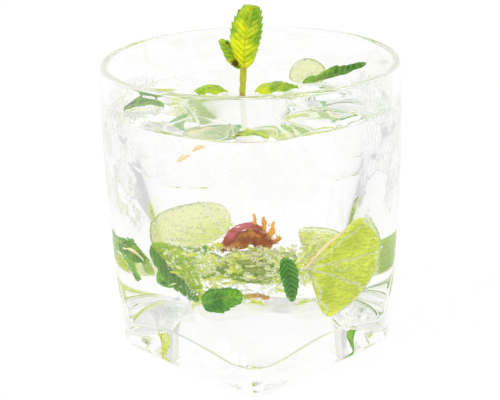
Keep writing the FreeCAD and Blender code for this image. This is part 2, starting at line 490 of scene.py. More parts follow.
# %% Rounded corner between a floor and a wall
def rounded_corner(heading, bottom, wall, radius, rows):
    """Arc that touches a floor curve and a wall curve, in the upright plane of each heading.

    The arc's centre lies one radius above the floor, along its normal, and is moved out until it is
    also one radius from the wall. Returns reach and height, each rows by headings."""
    step = 0.01
    stride = 0.7
    touch = wall(heading, 2 * radius) - radius
    for _ in range(40):
        slope = (bottom(touch + step) - bottom(touch - step)) / (2 * step)
        tilt = np.sqrt(1 + slope ** 2)
        centre_reach = touch - radius * slope / tilt
        centre_height = bottom(touch) + radius / tilt
        above = wall(heading, centre_height + step)
        below = wall(heading, centre_height - step)
        lean = (above - below) / (2 * step)
        gap = wall(heading, centre_height) - centre_reach - radius * np.sqrt(1 + lean ** 2)
        touch = touch + gap * stride
    start = np.arctan2(-1 / tilt, slope / tilt)
    end = np.arctan2(-lean, 1.0)
    angle = start + (end - start) * np.linspace(0, 1, rows)[:, None]
    return np.stack([centre_reach + radius * np.cos(angle), centre_height + radius * np.sin(angle)])


def wall_rows(heading, wall, low, high, rows):
    """Reach and height of rows up a wall, from the height low of each heading to high."""
    share = np.linspace(0, 1, rows)[:, None]
    height = low + (high - low) * share
    return np.stack([wall(heading[None, :], height), height])


def floor_rows(bottom, edge_reach, rows):
    """Reach and height of rows across a floor, from near the axis to the corner's start."""
    reach = edge_reach * (np.arange(1, rows) / rows)[:, None]
    return np.stack([reach, bottom(reach)])


def cavity_foot(heading):
    """Reach and height of the cavity's floor, and of the rounded corner round it."""
    corner = rounded_corner(heading, floor_height, inner_reach, FLOOR_EDGE_ROUNDING, rows=15)
    return floor_rows(floor_height, corner[0, 0], rows=24), corner


def as_points(heading, reach, height):
    """Grid of points from polar coordinates."""
    x = reach * np.cos(heading)
    y = reach * np.sin(heading)
    return np.stack([x, y, np.broadcast_to(height, reach.shape)], axis=-1)


# %% Where the soda meets the wall
DRINK_LEVEL = 77.0
INTO_WALL = 0.05
CLIMB = 0.5
CLIMB_AT_BACK = 0.1
CLIMB_AT_ICE = 1.9
CLIMB_WIDTH = 1.5
# It climbs more beside the ice: from one of these to the other, in degrees from the front.
ICE_FROM, ICE_TO = 20, 75


def soft_step(angle, place, blur):
    """0 before a place and 1 past it: 1 / (1 + exp((place - angle) / blur))."""
    return 1 / (1 + np.exp((place - angle) / blur))


def climb(heading):
    """How far the soda creeps up the wall: little by itself, and more beside ice. There it ripples,
    and on the right it has a crest where the ice begins."""
    from_front = (np.degrees(heading) + 270) % 360 - 180
    left = soft_step(-from_front, ICE_FROM, 3) * soft_step(from_front, -ICE_TO, 6)
    right = soft_step(from_front, ICE_FROM, 2.5) * soft_step(-from_front, -ICE_TO, 6)
    crest = 0.35 * np.exp(-((from_front - 27) / 4) ** 2)
    ripple = 0.12 * np.sin(np.radians(from_front) * 23) + 0.1 * np.sin(np.radians(from_front) * 41)
    front = soft_step(-np.abs(from_front), -80, 8)
    alone = CLIMB_AT_BACK + (CLIMB - CLIMB_AT_BACK) * front
    return alone + (CLIMB_AT_ICE + ripple) * (0.7 * left + right + crest)


all_round = climb(even_headings(COLUMNS))
print("climb in mm:", round(all_round.min(), 2), "to", round(all_round.max(), 2))


# %% Build the tumbler
def make_tumbler():
    """Closed surface in one grid: underside, outside, rounded rim, inside and cavity floor."""
    heading = even_headings(COLUMNS)
    top = HEIGHT - RIM_ROUNDING
    foot = rounded_corner(heading, flat_base, outer_reach, FOOT_EDGE_ROUNDING, rows=7)
    base = floor_rows(flat_base, foot[0, 0], rows=4)
    outside = wall_rows(heading, outer_reach, foot[1, -1], top, rows=76)
    floor, corner = cavity_foot(heading)
    waterline = DRINK_LEVEL + climb(heading) - INTO_WALL
    wet = wall_rows(heading, inner_reach, corner[1, -1], waterline, rows=60)
    dry = wall_rows(heading, inner_reach, waterline, top, rows=14)
    turn = np.linspace(0, math.pi, 15)[1:-1, None]
    middle = (outside[0, -1] + dry[0, -1]) / 2
    half = (outside[0, -1] - dry[0, -1]) / 2
    lip = np.stack([middle + half * np.cos(turn), top + RIM_ROUNDING * np.sin(turn) + 0 * middle])
    above = np.concatenate([base, foot, outside[:, 1:], lip, dry[:, ::-1]], axis=1)
    under = np.concatenate([wet[:, -2::-1], corner[:, -2::-1], floor[:, ::-1]], axis=1)
    reach, height = np.concatenate([above, under], axis=1)
    tumbler = grid_piece("tumbler", as_points(heading, reach, height), GLASS)
    paint_rows(tumbler, COLUMNS, first_row=above.shape[1] - 1, last_row=len(reach) - 1,
               with_start=False, with_end=True, material=WETTED_GLASS)
    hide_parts("glass")


make_tumbler()

# %% [markdown]
# ## Soda
# Lemon lime soda is as clear as water, with an IOR of 1.33. Its surface climbs the wall by half
# a millimetre in front, and by up to 3 mm beside the ice. A thin wet film covers the ice that
# stands out of it. Light must not meet any air between soda and wall, so the soda reaches a
# twentieth of a millimetre into the glass. Its skin in there isn't seen, because the wetted wall
# bends the light.

# %% Soda material
# Water with sugar and gas in it, which to the eye is water.
SODA = one_shader_material("clear_soda", "ShaderNodeBsdfPrincipled", {**CLEAR, "IOR": SODA_IOR})
# Skin of the soda inside the glass, where no light bends: the glass's own wall does that.
SODA_IN_WALL = one_shader_material("soda_in_the_wall", "ShaderNodeBsdfTransparent", {
    "Color": WHITE,
})


# %% Ice cubes from the frame
ICE_SIDE = 17.0
ICE_TAPER = 1.2
ICE_EDGE_FALL = 1.8
FILM = 0.1
# The ones whose tops stand out of the soda have CAD nodes: heading, reach, top and tilt.
FLOATING_ICE = {
    "ice_left": (145, 29.5, 78.2, 7),
    "ice_back": (97, 28.5, 78.6, -5),
    "ice_right": (22, 27.5, 78.4, 6),
    "ice_front": (-42, 28.5, 78.1, -6),
}


def ice_top(place, x, y):
    """Height of the top of a floating cube over a point, falling steeply outside its edges."""
    heading, reach, top, tilt = place
    angle = math.radians(heading)
    outward = x * math.cos(angle) + y * math.sin(angle) - reach
    sideways = y * math.cos(angle) - x * math.sin(angle)
    edge = (np.abs(outward) ** 5 + np.abs(sideways) ** 5) ** (1 / 5) / (ICE_SIDE / 2)
    return top - outward * math.sin(math.radians(tilt)) - ICE_EDGE_FALL * edge ** 6


def soda_height(heading, reach, wall_reach):
    """Height of the free surface: level, a climb at the wall, and a film over the floating ice.

    Where two of these meet, the larger one wins softly: soft * log(exp(a/soft) + exp(b/soft))."""
    x = reach * np.cos(heading)
    y = reach * np.sin(heading)
    height = DRINK_LEVEL + climb(heading) * np.exp((reach - wall_reach) / CLIMB_WIDTH)
    soft = 0.5
    for place in FLOATING_ICE.values():
        film = ice_top(place, x, y) + FILM
        height = soft * np.logaddexp(height / soft, film / soft)
    return height


def make_soda():
    """Closed surface in one grid: floor, wall, and the free surface back to the axis."""
    heading = even_headings(COLUMNS)
    floor, corner = cavity_foot(heading)
    wall = wall_rows(heading, inner_reach, corner[1, -1], DRINK_LEVEL + climb(heading), rows=64)
    reach, height = np.concatenate([floor, corner, wall[:, 1:]], axis=1)
    near_wall = reach > 20
    shell = as_points(heading, reach + INTO_WALL * near_wall, height - INTO_WALL)
    wall_reach = shell[-1, :, 0] * np.cos(heading) + shell[-1, :, 1] * np.sin(heading)
    share = np.linspace(1, 0, 91)[1:-1, None]
    inward = wall_reach * share ** 0.8
    surface = as_points(heading, inward, soda_height(heading, inward, wall_reach))
    grid = np.concatenate([shell, surface])
    soda = grid_piece("soda", grid, SODA)
    paint_rows(soda, COLUMNS, first_row=0, last_row=len(shell) - 1,
               with_start=True, with_end=False, material=SODA_IN_WALL)
    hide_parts("drink")


make_soda()

# %% [markdown]
# ## Ice
# Tray ice melts to rounded cubes, clear as the soda round them. Light hardly bends where it goes
# from one to the other: 1.31 against 1.33, a ratio of 0.985. That is an IOR below one, which the
# Principled shader can't have, so ice is a Glass shader. Trapped air makes it a little milky.


# %% Ice material
ICE_IOR = 1.31


def melting_ice():
    """Tray ice under soda: clear, with a trace of milk in patches, from trapped air."""
    material, tree = new_material("melting_ice")
    place = add_node(tree, "ShaderNodeTexCoord")
    clouds = add_node(tree, "ShaderNodeTexNoise", {
        "Vector": place.outputs["Object"], "Scale": noise_scale(8.33), "Detail": 5.0,
        "Roughness": 0.65,
    })
    milk = add_node(tree, "ShaderNodeMapRange", {
        "Value": clouds.outputs["Fac"], "From Min": 0.38, "From Max": 0.62,
        "To Min": 0.0, "To Max": 0.10,
    })
    clear = add_node(tree, "ShaderNodeBsdfGlass", {
        "Color": WHITE, "Roughness": 0.0, "IOR": round(ICE_IOR / SODA_IOR, 3),
    })
    air = add_node(tree, "ShaderNodeBsdfTranslucent", {"Color": WHITE})
    both = add_node(tree, "ShaderNodeMixShader", {
        0: milk.outputs["Result"], 1: clear.outputs["BSDF"], 2: air.outputs["BSDF"],
    })
    add_node(tree, "ShaderNodeOutputMaterial", {"Surface": both.outputs["Shader"]})
    return material


ICE = melting_ice()


# %% Ice cube shape
ICE_LUMP_HEIGHT = 0.35


def signed_power(value, exponent):
    """Power of the size of a number, with the number's sign."""
    return np.sign(value) * np.abs(value) ** exponent


def ice_grid(heading, reach, top, tilt, side=ICE_SIDE, seed=0, rows=41, columns=64):
    """Superellipsoid, which is a cube with round edges: powers of 0.32 of the sines and cosines of
    a sphere's two angles. It narrows downward, has lumps, and stands face to the wall."""
    rise = np.linspace(-math.pi / 2, math.pi / 2, rows + 2)[1:-1, None]
    turn = (np.arange(columns) + 0.5)[None, :] * 2 * math.pi / columns
    power = 0.32
    level = signed_power(np.cos(rise), power)
    half = side / 2
    local = np.stack([
        half * level * signed_power(np.cos(turn), power),
        half * level * signed_power(np.sin(turn), power),
        half * signed_power(np.sin(rise), power) + 0 * turn,
    ], axis=-1)
    local[..., :2] *= (1 - ICE_TAPER / side * (1 - local[..., 2:] / half))
    local += unit(local) * (lumps(local, size=6.0, seed=seed) * ICE_LUMP_HEIGHT)[..., None]
    local[..., 2] -= half
    lean = math.radians(tilt)
    x = local[..., 0] * math.cos(lean) + local[..., 2] * math.sin(lean)
    z = local[..., 2] * math.cos(lean) - local[..., 0] * math.sin(lean)
    angle = math.radians(heading)
    x = x + reach
    return np.stack([
        x * math.cos(angle) - local[..., 1] * math.sin(angle),
        x * math.sin(angle) + local[..., 1] * math.cos(angle),
        z + top,
    ], axis=-1)


for number, (node, place) in enumerate(FLOATING_ICE.items()):
    cube = grid_piece(node + "_clear", ice_grid(*place, seed=number), ICE)
    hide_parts(node)

# %% Sunk ice
# heading, reach, top, tilt and side of the cubes below the surface
SUNK_ICE = [
    (-125, 25.0, 76.0, -8, 16.0),
    (-85, 20.0, 75.6, 10, 15.0),
    (200, 26.0, 75.8, 12, 15.0),
]
sunk = [ice_grid(*place, seed=10 + number) for number, place in enumerate(SUNK_ICE)]
joined_piece("ice_sunk", sunk, ICE)

# %% [markdown]
# ## Mint
# A mint leaf has saw teeth, a midrib, and side veins that run out and forward. Between them the
# blade puffs up like a quilt. Each leaf is one closed grid: along the midrib and across the blade,
# over the top and back underneath. The same function makes each leaf, and only its place, bend,
# fold and twist differ.


# %% Colours of plant skin
MOIST_IOR = 1.42
SUNK_IOR = round(MOIST_IOR / SODA_IOR, 2)
# A Mix node's sockets for colours, and where its mixed colour comes out
MIX_FIRST, MIX_SECOND, MIXED = 6, 7, 2


def colour_by(tree, key, first, second):
    """Colour that goes from first to second as the piece's attribute key goes from 0 to 1."""
    share = add_node(tree, "ShaderNodeAttribute", attribute_name=key)
    mix = add_node(tree, "ShaderNodeMix", {
        "Factor": share.outputs["Fac"], MIX_FIRST: first, MIX_SECOND: second,
    }, data_type="RGBA")
    return mix.outputs[MIXED]


def aged_colour(tree, place, noise, young, old, least, most):
    """Colour in patches of young and old skin. Noise of least to most is spread to 0 to 1, and
    the piece's age is added: 0 is young and 1 is old."""
    patches = add_node(tree, "ShaderNodeTexNoise", {"Vector": place.outputs["Object"], **noise})
    spread = add_node(tree, "ShaderNodeMapRange", {
        "Value": patches.outputs["Fac"], "From Min": least, "From Max": most,
    })
    age = add_node(tree, "ShaderNodeAttribute", attribute_name="age")
    older = add_node(tree, "ShaderNodeMath", {
        0: spread.outputs["Result"], 1: age.outputs["Fac"],
    }, operation="ADD", use_clamp=True)
    mix = add_node(tree, "ShaderNodeMix", {
        "Factor": older.outputs[0], MIX_FIRST: colour(young), MIX_SECOND: colour(old),
    }, data_type="RGBA")
    return mix.outputs[MIXED]


# %% Leaf materials
def mint_leaf(name, young, old, vein, ior=MOIST_IOR):
    """Mint blade: thin, moist and translucent, so light from behind makes it glow. Its colour
    wanders between young and old tissue, its veins are paler, and bruises are dark brown. Under
    soda it has hardly any gloss, since the IOR there is 1.42 to 1.33."""
    material, tree = new_material(name)
    place = add_node(tree, "ShaderNodeTexCoord")
    noise = {"Scale": noise_scale(3.85), "Detail": 4.0, "Roughness": 0.6}
    blade = aged_colour(tree, place, noise, young, old, least=0.35, most=0.68)
    veined = colour_by(tree, "vein", blade, colour(vein))
    bruised = colour_by(tree, "bruise", veined, colour("#4a3a1e"))
    # The cells of a leaf's skin are far finer. These are as coarse as they need to be to show.
    cells = add_node(tree, "ShaderNodeTexNoise", {
        "Vector": place.outputs["Object"], "Scale": noise_scale(0.625), "Detail": 2.0,
    })
    skin = add_node(tree, "ShaderNodeBump", {
        "Height": cells.outputs["Fac"], "Strength": 0.35, "Distance": 0.25 * MM,
    })
    surface = add_node(tree, "ShaderNodeBsdfPrincipled", {
        "Base Color": bruised, "Roughness": 0.42, "IOR": ior,
        "Subsurface Weight": 0.45, "Subsurface Radius": (0.7, 1.0, 0.25),
        "Subsurface Scale": 0.9 * MM, "Normal": skin.outputs["Normal"],
    })
    add_node(tree, "ShaderNodeOutputMaterial", {"Surface": surface.outputs["BSDF"]})
    return material


MINT_PALE = mint_leaf("young_mint_leaf", "#e8f018", "#80aa24", "#ecf03c")
MINT_MIXED = mint_leaf("sunk_mint_leaf", "#b4cc24", "#4f861a", "#c8dc40", ior=SUNK_IOR)
MINT_DARK = mint_leaf("old_mint_leaf", "#86b03c", "#3f7426", "#a8c460")
MINT_SUNK = mint_leaf("old_sunk_mint_leaf", "#86c81c", "#257c12", "#aad03c", ior=SUNK_IOR)


# %% Leaf shape
# What all leaves have alike, in mm where it isn't a share
TOOTH_DEPTH = 0.16
VEIN_LEAN = 0.8
MIDRIB_HALF_WIDTH = 0.32
SIDE_VEIN_HALF_WIDTH = 0.22
GROOVE_DEPTH = 0.25
BLADE_HALF_THICKNESS = 0.16
MIDRIB_HALF_THICKNESS = 0.25
BLADE_LUMP_HEIGHT = 0.25


def leaf_grid(base, tip, facing, width, bow=0.1, fold=15, twist=0, curve=0.0, fullness=0.75,
              widest=0.42, teeth=8, wave=0.4, quilt=0.05, age=(0.0, 0.0), halves=(0.0, 0.0),
              rim=0.0, bruises=(), seed=0, rows=89, half_columns=22):
    """Closed grid of a leaf and its point values.

    The half width is width/2 * sin(pi * along^p)^fullness, less the notches of the saw teeth, with
    the power p that makes the leaf widest at that share of its length. The blade is folded along
    the midrib, puffed up between its side veins and waved at its edge. age goes from base to tip,
    and halves and rim add to it on each half and at the rim.
    """
    base, tip = np.array(base, float), np.array(tip, float)
    length = np.linalg.norm(tip - base)
    forward = unit(tip - base)
    side = unit(np.cross(np.array(facing, float), forward))
    normal = np.cross(forward, side)
    along = np.linspace(0.004, 0.996, rows)[:, None]
    across = np.sin(np.linspace(-1, 1, 2 * half_columns + 1) * math.pi / 2)[None, :]
    saw = (along * teeth + 0.15 * np.sign(across)) % 1.0
    tooth = TOOTH_DEPTH * (saw ** 0.7 - 0.75) * np.abs(across) ** 5
    power = math.log(0.5) / math.log(widest)
    half_width = width / 2 * np.sin(math.pi * along ** power) ** fullness
    out = half_width * across * (1 + tooth)
    ahead = length * (along + 0.25 / teeth * saw * np.abs(across) ** 5 * (along < 0.97))
    spacing = length / (teeth + 1)
    phase = (along * length - VEIN_LEAN * np.abs(out)) / spacing
    from_vein = np.abs(phase - np.round(phase)) * spacing
    from_middle = np.abs(out)
    midrib = np.exp(-(from_middle / MIDRIB_HALF_WIDTH) ** 2)
    side_veins = 0.75 * np.exp(-(from_vein / SIDE_VEIN_HALF_WIDTH) ** 2)
    vein = np.maximum(midrib, side_veins) * (1 - np.abs(across) ** 6)
    puff = quilt * width * np.abs(np.sin(math.pi * phase)) ** 0.7
    puff = puff * np.sin(math.pi * np.abs(across) ** 0.7)
    waves_passed = 2.3 * along + 0.3 * np.sign(across)
    edge_wave = wave * np.abs(across) ** 3 * np.sin(2 * math.pi * waves_passed + seed)
    groove = GROOVE_DEPTH * np.exp(-(from_middle / 0.5) ** 2)
    fold_angle = math.radians(fold)
    up = puff + edge_wave + from_middle * math.sin(fold_angle) - groove
    out = out * math.cos(fold_angle)
    turn = np.radians(twist) * (along - 0.5)
    sideways = out * np.cos(turn) - up * np.sin(turn)
    lifted = out * np.sin(turn) + up * np.cos(turn)
    lifted = lifted + bow * length * 4 * along * (1 - along)
    sideways = sideways + curve * length * 4 * along * (1 - along)
    middle = (base + ahead[..., None] * forward + sideways[..., None] * side
              + lifted[..., None] * normal)
    middle += normal * (lumps(middle, size=3.5, seed=seed) * BLADE_LUMP_HEIGHT)[..., None]
    face = unit(np.cross(np.gradient(middle, axis=0), np.gradient(middle, axis=1)))
    half_thickness = BLADE_HALF_THICKNESS * (1 - np.abs(across) ** 12)
    half_thickness = half_thickness + MIDRIB_HALF_THICKNESS * np.exp(-(from_middle / 0.6) ** 2)
    offset = face * (half_thickness * np.sqrt(np.clip(np.sin(math.pi * along), 0, 1)))[..., None]
    front, back = middle + offset, middle - offset
    grid = np.concatenate([front, back[:, -2:0:-1]], axis=1)
    older = age[0] + (age[1] - age[0]) * along + rim * np.abs(across) ** 5
    older = older + np.where(across < 0, halves[0], halves[1])
    bruise = np.zeros_like(older)
    for where, beside, size in bruises:
        distance = np.hypot((along - where) * length, (across - beside) * width / 2)
        bruise = np.maximum(bruise, np.clip(1.6 - distance / size, 0, 1))
    values = {"vein": vein, "age": older, "bruise": bruise}
    values = {key: np.concatenate([v, v[:, -2:0:-1]], axis=1) for key, v in values.items()}
    return grid, values


def add_leaf(name, material, slot, nodes=(), **shape):
    """One leaf as a piece, which stands for the CAD nodes named."""
    grid, values = leaf_grid(**shape)
    piece = grid_piece(name, grid, material, values)
    if nodes:
        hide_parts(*nodes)
    return piece


# %% Sprig and floating leaves
add_leaf("sprig_top_leaf", MINT_PALE, "mint_pale", ["mint_top_leaf"],
         base=(-1.7, 1.2, 86.9), tip=(1.2, 0.8, 106.0), facing=(0.1, -1, 0.12), width=9.8,
         bow=0.08, fold=-16, curve=0.05, fullness=0.36, widest=0.55, teeth=10, quilt=0.11,
         age=(-0.7, 0.35), halves=(0.25, -0.1), rim=0.9,
         bruises=[(0.95, -0.9, 0.3), (0.88, 0.95, 0.35), (0.8, -1.0, 0.3), (0.7, 1.0, 0.3)],
         seed=1, rows=141, half_columns=33)
add_leaf("sprig_side_leaf", MINT_PALE, "mint_pale", ["mint_side_leaf"],
         base=(-2.4, 2.1, 86.6), tip=(-8.9, 2.4, 95.6), facing=(0.2, -1, 0.5), width=6.4,
         fold=25, teeth=6, age=(0.3, 0.9), bruises=[(0.25, 0.5, 1.3), (0.55, -0.8, 1.0), (0.8, -0.5, 0.5)],
         seed=2)
add_leaf("floating_leaf_left", MINT_PALE, "mint_pale", ["mint_leaf_left"],
         base=(-17.6, 10.6, 77.6), tip=(-7.2, 9.8, 77.6), facing=(0, -0.05, 1), width=9.0,
         bow=0.12, fold=-8, teeth=6, age=(0.6, 0.4), seed=3)
add_leaf("floating_leaf_right", MINT_PALE, "mint_pale", ["mint_leaf_right"],
         base=(1.0, 9.0, 77.6), tip=(14.4, 12.2, 77.7), facing=(0, -0.05, 1), width=10.4,
         bow=0.12, fold=-8, teeth=7, age=(0.0, 0.9), bruises=[(0.7, 0.9, 0.5)], seed=4)
add_leaf("floating_leaf_long", MINT_DARK, "mint_dark", ["mint_leaf_long"],
         base=(15.6, 12.9, 79.2), tip=(35.6, 19.0, 83.4), facing=(-0.1, -0.35, 1), width=5.6,
         bow=-0.04, fold=30, twist=60, teeth=10, age=(-0.4, 0.9), seed=5)
add_leaf("floating_leaf_edge", MINT_DARK, "mint_dark", ["mint_leaf_edge"],
         base=(-37.2, -6.4, 77.3), tip=(-25.6, -3.6, 77.3), facing=(0, 0, 1), width=7.6,
         teeth=6, bruises=[(0.1, 0.0, 1.8)], seed=6)
add_leaf("floating_leaf_front", MINT_PALE, "mint_dark", ["mint_leaf_front"],
         base=(-4.2, -36.2, 77.3), tip=(5.4, -37.2, 77.3), facing=(0, 0, 1), width=4.4,
         teeth=5, age=(0.2, 0.6), bruises=[(0.15, 0.2, 0.9)], seed=7)

# %% Sunk leaves
SUNK_LEAVES = [
    add_leaf("sunk_leaf_left", MINT_MIXED, "mint_dark", base=(-39.4, -4.0, 36.0),
             tip=(-27.6, -9.0, 31.6), facing=(0.3, -1, 0.4), width=7.4, teeth=7, fold=-20,
             wave=0.8, quilt=0.08, age=(0.5, 0.2), rim=0.4, seed=11),
    add_leaf("sunk_leaf_large", MINT_MIXED, "mint_dark", base=(-26.8, -12.0, 38.4),
             tip=(-11.6, -19.5, 24.0), facing=(0.2, -1, 0.2), width=14.0, fold=24, teeth=9,
             fullness=0.6, wave=0.8, quilt=0.07, age=(0.3, 0.0), halves=(0.9, -0.4), seed=12),
    add_leaf("sunk_leaf_crinkled", MINT_SUNK, "mint_dark", base=(-12.6, -28.0, 25.4),
             tip=(-2.2, -27.0, 28.8), facing=(0, -1, 0.6), width=8.6, fold=-24, fullness=0.5,
             wave=1.0, quilt=0.12, teeth=7, age=(0.5, 0.1), rim=0.5, seed=13),
    add_leaf("sunk_leaf_folded", MINT_SUNK, "mint_dark", base=(6.6, -22.0, 38.2),
             tip=(8.6, -27.0, 25.6), facing=(0.3, -1, 0), width=7.4, fold=50, fullness=0.5, teeth=8,
             age=(0.9, 1.2), seed=14),
    add_leaf("sunk_leaf_back", MINT_SUNK, "mint_dark", base=(-18.4, 23.4, 17.0),
             tip=(-4.6, 28.8, 29.0), facing=(0.4, -1, 0.2), width=12.0, teeth=9, seed=15),
]

# %% [markdown]
# ## Stems
# The sprig stands on a thin green stem. Below, among the lime, lies the end of an old stem: mauve
# where its skin is whole and brown where it was bruised and has frayed. Each is a rod along a
# smooth curve, lumpy, with rounded ends.


# %% Stem materials
def stem_skin(name, fresh, old, ior=MOIST_IOR):
    """Skin of a stem or a membrane, moist, with blotches that run from a fresh to an old colour."""
    material, tree = new_material(name)
    place = add_node(tree, "ShaderNodeTexCoord")
    noise = {"Scale": noise_scale(2.38), "Detail": 3.0}
    skin = aged_colour(tree, place, noise, fresh, old, least=0.4, most=0.65)
    surface = add_node(tree, "ShaderNodeBsdfPrincipled", {
        "Base Color": skin, "Roughness": 0.35, "IOR": ior,
        "Subsurface Weight": 0.4, "Subsurface Radius": (1.0, 0.8, 0.3),
        "Subsurface Scale": 0.6 * MM,
    })
    add_node(tree, "ShaderNodeOutputMaterial", {"Surface": surface.outputs["BSDF"]})
    return material


STEM_GREEN = stem_skin("mint_stem", "#bcc434", "#ac9630")
STEM_MAUVE = stem_skin("old_mint_stem", "#c86c70", "#a04c22", ior=SUNK_IOR)
STEM_BROWN = stem_skin("bruised_mint_stem", "#e4a848", "#9a5016", ior=SUNK_IOR)
STALK = stem_skin("sunk_stalk", "#d4da5c", "#c8984c", ior=SUNK_IOR)
MEMBRANE = stem_skin("lime_membrane", "#f4d6a0", "#f4ecc0", ior=SUNK_IOR)


# %% Stem shape
def smooth_path(points, cuts):
    """Smooth curve near the points: their corners are cut off a number of times."""
    path = np.array(points, float)
    for _ in range(cuts):
        near = 0.75 * path[:-1] + 0.25 * path[1:]
        far = 0.25 * path[:-1] + 0.75 * path[1:]
        path = np.concatenate([path[:1], np.stack([near, far], 1).reshape(-1, 3), path[-1:]])
    return path


def stem_grid(points, radii, age=(0.0, 0.0), lump=0.15, seed=0, columns=20, cuts=5):
    """Closed lumpy rod along a smooth curve, and its point values. Its radius and its age run
    evenly through the numbers given, from end to end."""
    path = smooth_path(points, cuts)
    forward = unit(np.gradient(path, axis=0))
    side = unit(np.cross(forward, (0.3, 1.0, 0.2)))
    up = np.cross(side, forward)
    steps = np.linalg.norm(np.diff(path, axis=0), axis=1)
    share = np.concatenate([[0], np.cumsum(steps)]) / steps.sum()
    radius = np.interp(share, np.linspace(0, 1, len(radii)), radii)
    from_end = np.minimum(share, 1 - share) * steps.sum() / radius
    radius = radius * np.sqrt(1 - (1 - np.clip(from_end, 0.05, 1)) ** 2)
    turn = np.arange(columns) * 2 * math.pi / columns
    around = np.cos(turn)[:, None] * side[:, None] + np.sin(turn)[:, None] * up[:, None]
    grid = path[:, None] + radius[:, None, None] * around
    bulge = 1 + lump / np.max(radii) * lumps(grid, size=1.8, seed=seed)
    grid = path[:, None] + (radius[:, None] * bulge)[..., None] * around
    older = np.interp(share, np.linspace(0, 1, len(age)), age)
    return grid, {"age": older[:, None] + 0 * turn}


# %% Stems
sprig_stem = joined_piece("sprig_stem", [
    stem_grid([(-2.9, 1.6, 73.8), (-2.5, 1.5, 80.2), (-1.8, 1.3, 88.4)], [0.9, 0.95, 1.1],
              age=(0.4, 0.5, -0.4, -0.5), seed=1),
], STEM_GREEN)
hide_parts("mint_stem")
OLD_STEM = [
    joined_piece("old_stem_skin", [
        stem_grid([(-5.8, -15.2, 38.8), (-4.0, -15.6, 45.6), (0.6, -15.6, 47.2), (2.2, -15, 41.0)],
                  [0.9, 1.0, 0.9, 0.5], age=(0.6, -0.4, 0.2, 0.9), seed=2),
    ], STEM_MAUVE),
    joined_piece("old_stem_body", [
        stem_grid([(-4.8, -14.6, 38.6), (-1.0, -15.2, 44.0), (3.2, -14.6, 39.4)], [1.6, 2.2, 1.4],
                  age=(0.3, 0.8), lump=0.7, seed=3),
        stem_grid([(1.0, -15.0, 42.0), (2.4, -15.4, 46.0), (2.2, -15.0, 49.0)], [0.9, 0.6, 0.3],
                  age=(0.2, -0.8), lump=0.4, seed=4),
        stem_grid([(1.5, -15.0, 41.0), (3.8, -15.2, 44.0), (4.2, -15.0, 47.5)], [0.8, 0.6, 0.3],
                  age=(0.2, -0.8), lump=0.4, seed=5),
        stem_grid([(-1.0, -15.0, 44.0), (0.6, -15.8, 47.8), (0.2, -15.2, 50.0)], [0.7, 0.5, 0.25],
                  age=(0.2, -0.8), lump=0.3, seed=6),
        stem_grid([(2.0, -15.2, 41.0), (4.8, -15.6, 41.6), (5.2, -15.0, 43.0)], [0.6, 0.6, 0.3],
                  age=(0.6, 0.0), lump=0.3, seed=7),
    ], STEM_BROWN),
    joined_piece("sunk_stalks", [
        stem_grid([(-9.0, -15.0, 39.6), (-6.8, -15.6, 40.8), (-4.6, -15.0, 39.2)], [0.5, 1.0, 0.6],
                  age=(-0.8, -0.4), seed=8),
        stem_grid([(-26.8, -12.4, 37.0), (-24.0, -14.0, 35.0), (-23.6, -14.0, 32.0)],
                  [0.4, 0.55, 0.3], age=(-0.8, -0.8), seed=9),
        stem_grid([(-2.6, -24.5, 27.0), (0.2, -25.0, 27.8), (3.0, -24.5, 26.4)], [0.5, 0.8, 0.5],
                  age=(0.2, 1.0), seed=10),
    ], STALK),
]
joined_piece("lime_membranes", [
    stem_grid([(23.2, -15.0, 43.4), (16.0, -15.4, 39.0), (9.6, -15.0, 32.0)], [0.3, 0.6, 0.4],
              seed=13),
    stem_grid([(-37.4, -7.2, 34.6), (-33.4, -9.6, 35.4), (-30.0, -10.8, 32.6)], [0.3, 0.5, 0.25],
              age=(0.6, 0.6), seed=14),
    stem_grid([(-17.6, -20.0, 67.0), (-15.4, -20.4, 69.0), (-14.4, -20.0, 68.6)], [0.3, 0.7, 0.3],
              age=(-0.6, -0.6), seed=11),
    stem_grid([(-13.8, -20.0, 70.0), (-12.0, -20.2, 71.4), (-10.4, -20.0, 71.4)], [0.25, 0.6, 0.25],
              age=(-0.6, -0.6), seed=12),
], MEMBRANE)

# %% [markdown]
# ## Lime
# A cut lime shows wedges of juicy flesh between thin pale membranes, a white pith and a green skin.
# All three follow from the distance to the middle of the fruit and the turn round it. So a piece is
# a slab with any outline, whose points each know those two numbers.


